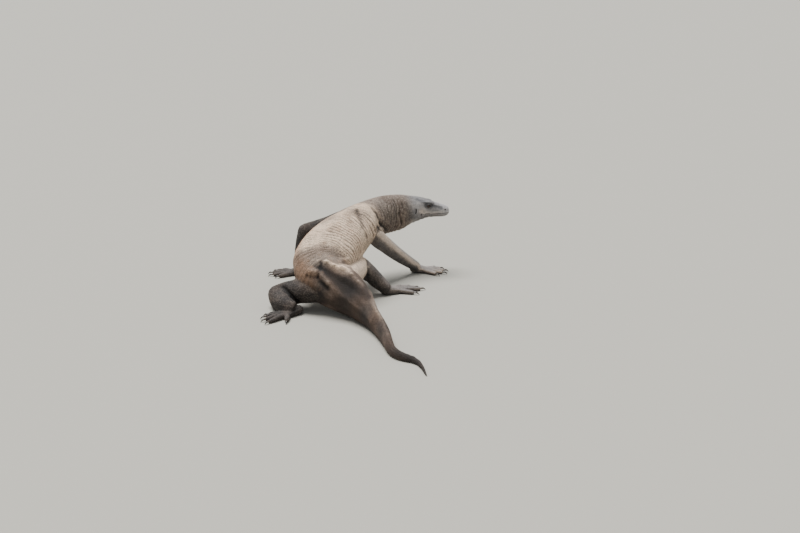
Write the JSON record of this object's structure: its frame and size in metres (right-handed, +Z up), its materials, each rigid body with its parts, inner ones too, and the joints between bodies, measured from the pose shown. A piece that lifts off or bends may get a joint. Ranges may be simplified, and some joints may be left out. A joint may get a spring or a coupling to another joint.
{
  "type": "komodo dragon model",
  "caption": "Life-size still model of a Komodo dragon lying in a curve, chest raised on its forelegs, head turned to its right and tail laid out on the floor.",
  "frame": {"origin": "middle of the footprint's bounding box, on the floor the animal lies on", "axes": "+Z up from the floor; +Y from the tail tip towards the shoulders; +X the way the head points, to the animal's right"},
  "size_m": [0.9156, 1.5772, 0.4108],
  "materials": {
    "hide": "dusty matt beaded scales",
    "claw": "worn horn",
    "eye": "wet and glossy"
  },
  "bodies": {
    "root": {"belly": "hide", "chest": "hide", "claw_foot_left_1": "claw", "claw_foot_left_2": "claw", "claw_foot_left_3": "claw", "claw_foot_left_4": "claw", "claw_foot_left_5": "claw", "claw_foot_right_1": "claw", "claw_foot_right_2": "claw", "claw_foot_right_3": "claw", "claw_foot_right_4": "claw", "claw_foot_right_5": "claw", "claw_hand_left_1": "claw", "claw_hand_left_2": "claw", "claw_hand_left_3": "claw", "claw_hand_left_4": "claw", "claw_hand_left_5": "claw", "claw_hand_right_1": "claw", "claw_hand_right_2": "claw", "claw_hand_right_3": "claw", "claw_hand_right_4": "claw", "claw_hand_right_5": "claw", "eye_left": "eye", "eye_right": "eye", "foot_left": "hide", "foot_right": "hide", "forearm_left": "hide", "forearm_right": "hide", "hand_left": "hide", "hand_right": "hide", "head": "hide", "jaw": "hide", "neck": "hide", "pelvis": "hide", "shin_left": "hide", "shin_right": "hide", "tail_1": "hide", "tail_2": "hide", "tail_3": "hide", "tail_4": "hide", "tail_5": "hide", "thigh_left": "hide", "thigh_right": "hide", "upper_arm_left": "hide", "upper_arm_right": "hide"}
  },
  "joints": []
}
